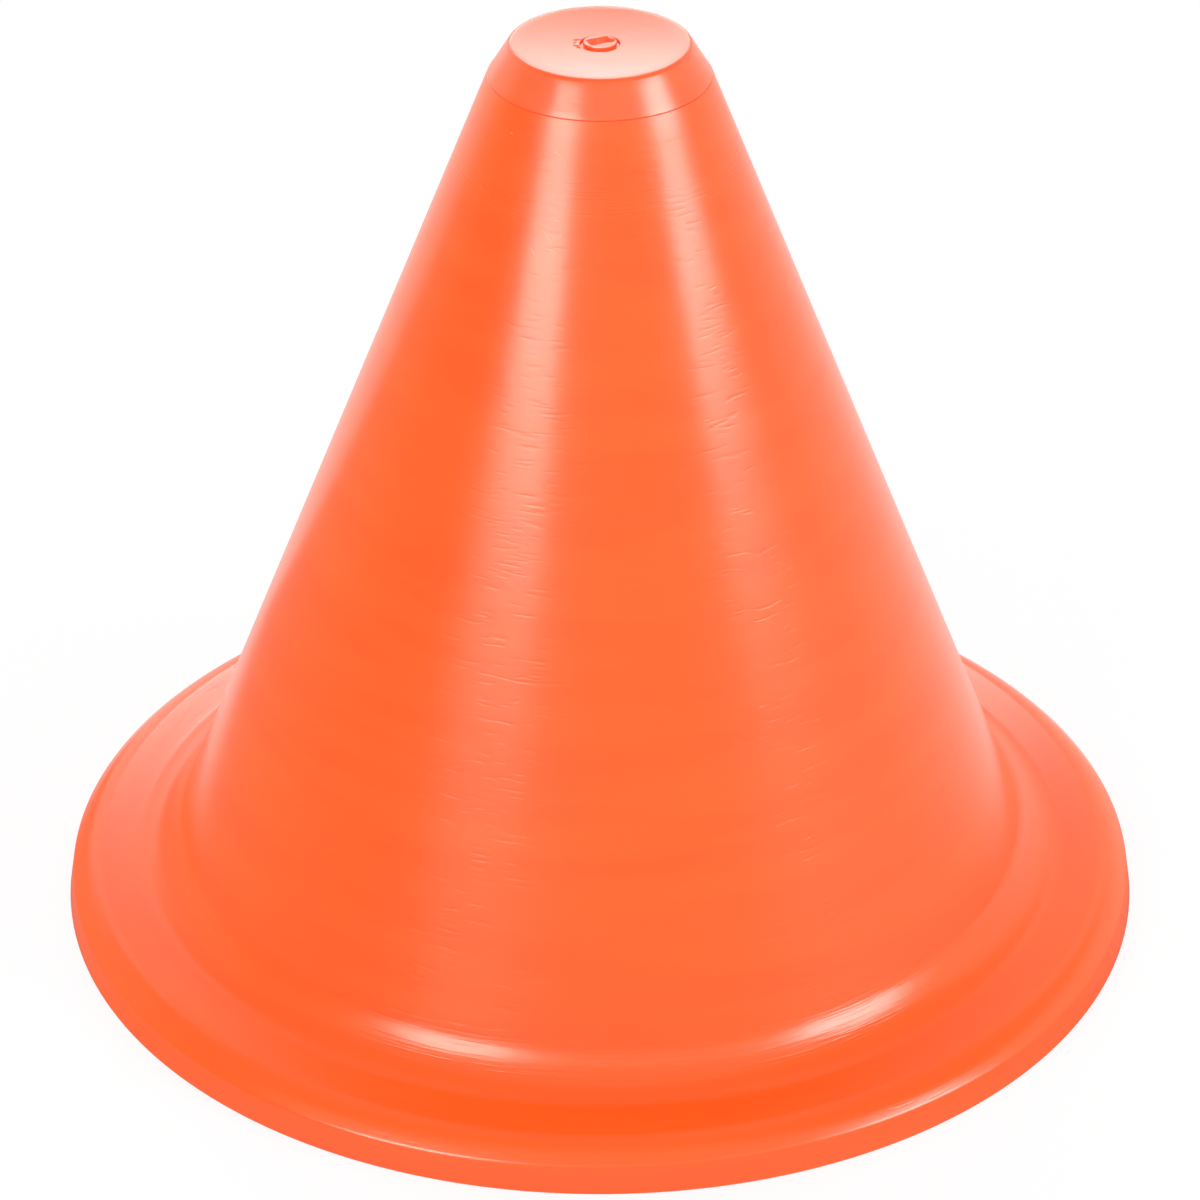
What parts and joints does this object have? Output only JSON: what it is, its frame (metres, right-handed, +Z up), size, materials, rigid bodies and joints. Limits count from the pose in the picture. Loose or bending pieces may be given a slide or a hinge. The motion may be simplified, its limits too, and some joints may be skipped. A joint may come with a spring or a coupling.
{
  "type": "sports marker cone",
  "caption": "Squat round-based marker cone for sports fields: a hollow tapered shell on a flange with a turned-down rim, closed by a snap-in top cap. Stands free and nests in a stack.",
  "frame": {"origin": "centre of the base circle, on the plane that the rim's foot stands on", "axes": "+Z up along the cone's axis; X and Y are free, because the shape is turned"},
  "size_m": [0.2098, 0.2098, 0.178],
  "materials": {
    "body_plastic": "orange polyethylene, satin gloss with fine turned lines",
    "cap_plastic": "orange polyethylene, satin gloss with a trimmed gate mark"
  },
  "bodies": {
    "root": {"cone_body": "body_plastic", "top_cap": "cap_plastic"}
  },
  "joints": []
}
